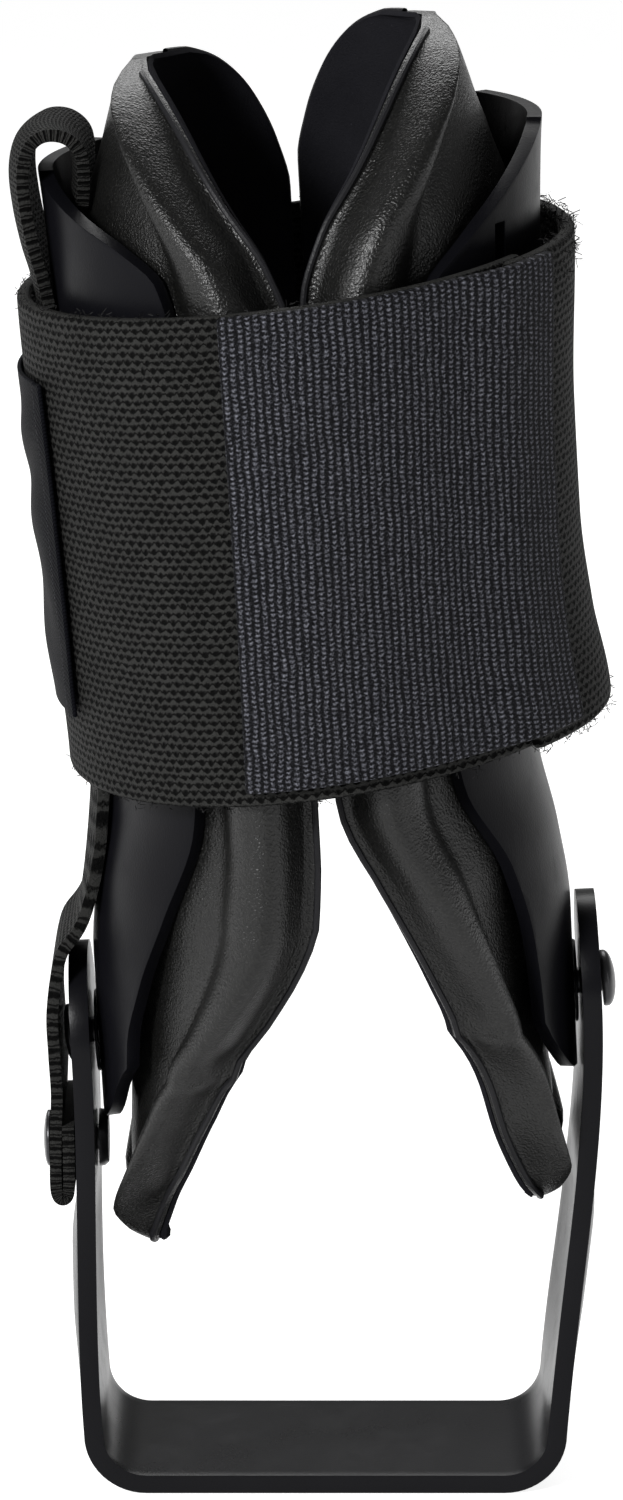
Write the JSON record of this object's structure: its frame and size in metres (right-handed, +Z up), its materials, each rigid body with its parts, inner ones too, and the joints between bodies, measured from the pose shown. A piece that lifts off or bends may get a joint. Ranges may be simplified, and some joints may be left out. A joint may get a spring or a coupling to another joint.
{
  "type": "stirrup ankle brace",
  "caption": "U-shaped plastic stirrup hinged at the ankle to padded side shells, closed round the leg by a wide hook-tape strap, with a narrow keeper strap on one side.",
  "frame": {"origin": "middle of the sole plate's underside", "axes": "+Z up the leg, +X to the right in the front view, -Y to the front"},
  "size_m": [0.1013, 0.1038, 0.2508],
  "materials": {
    "stirrup_plastic": "satin moulded, polished rounded edges",
    "shell_plastic": "smooth satin charcoal",
    "pad_skin": "glossy leather-grain skin over moulded foam",
    "pad_lining": "matt fine brushed lining",
    "webbing": "coarse woven webbing",
    "hook_tape": "fine ribbed tape",
    "label_satin": "fine satin twill",
    "rivet_metal": "black glossy"
  },
  "bodies": {
    "stirrup": {"stirrup": "stirrup_plastic", "strap_rivet": "rivet_metal", "keeper_strap_lower": "webbing"},
    "cuff": {"left_shell": "shell_plastic", "right_shell": "shell_plastic", "left_pad": "pad_skin", "right_pad": "pad_skin", "left_lining": "pad_lining", "right_lining": "pad_lining", "wide_strap": "webbing", "hook_tape": "hook_tape", "side_label": "label_satin", "keeper_strap_upper": "webbing", "left_hinge_rivet": "rivet_metal", "right_hinge_rivet": "rivet_metal"}
  },
  "joints": [
    {"name": "ankle_hinge", "type": "hinge", "parent": "stirrup", "child": "cuff", "pos_m": [0.0018, 0, 0.082], "axis": [0.9944, 0, 0.1055], "range_deg": [-25, 40]}
  ]
}
